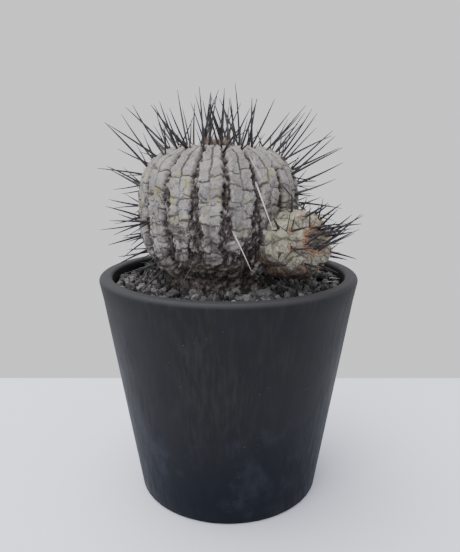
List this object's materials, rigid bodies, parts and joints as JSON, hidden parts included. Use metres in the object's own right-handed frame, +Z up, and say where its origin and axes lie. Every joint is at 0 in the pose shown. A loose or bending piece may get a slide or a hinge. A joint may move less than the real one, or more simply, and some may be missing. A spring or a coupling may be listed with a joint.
{
  "type": "potted round cactus",
  "caption": "Round grey ribbed cactus with dark spines and a small offset, in a straight tapered charcoal pot topped with dark gravel.",
  "frame": {"origin": "centre of the pot's foot, on the surface it stands on", "axes": "+Z up along the pot's axis; the offset grows towards +X and -Y, and -Y is the front"},
  "size_m": [0.121, 0.12, 0.1908],
  "materials": {
    "pot_plastic": "matte charcoal moulded plastic with faint vertical streaks",
    "potting_mix": "coarse dark potting mix",
    "lava_gravel": "rough dark grey-brown lava gravel",
    "grey_skin": "chalky weathered grey skin with dark cracks and corky base",
    "cream_skin": "waxy cream-green skin",
    "brown_wool": "short orange-brown felted wool",
    "dark_spines": "hard near-black spines with a slight sheen, grey where old"
  },
  "bodies": {
    "root": {"pot": "pot_plastic", "potting_mix": "potting_mix", "top_dressing": "lava_gravel", "cactus_stem": "grey_skin", "offset_stem": "cream_skin", "crown_wool": "brown_wool", "offset_wool": "brown_wool", "offset_spines_01": "dark_spines", "offset_spines_02": "dark_spines", "offset_spines_03": "dark_spines", "offset_spines_04": "dark_spines", "offset_spines_05": "dark_spines", "offset_spines_06": "dark_spines", "offset_spines_07": "dark_spines", "offset_spines_08": "dark_spines", "spines_rib_01": "dark_spines", "spines_rib_02": "dark_spines", "spines_rib_03": "dark_spines", "spines_rib_04": "dark_spines", "spines_rib_05": "dark_spines", "spines_rib_06": "dark_spines", "spines_rib_07": "dark_spines", "spines_rib_08": "dark_spines", "spines_rib_09": "dark_spines", "spines_rib_10": "dark_spines", "spines_rib_11": "dark_spines", "spines_rib_12": "dark_spines", "spines_rib_13": "dark_spines", "spines_rib_14": "dark_spines", "spines_rib_15": "dark_spines", "spines_rib_16": "dark_spines", "spines_rib_17": "dark_spines"}
  },
  "joints": []
}
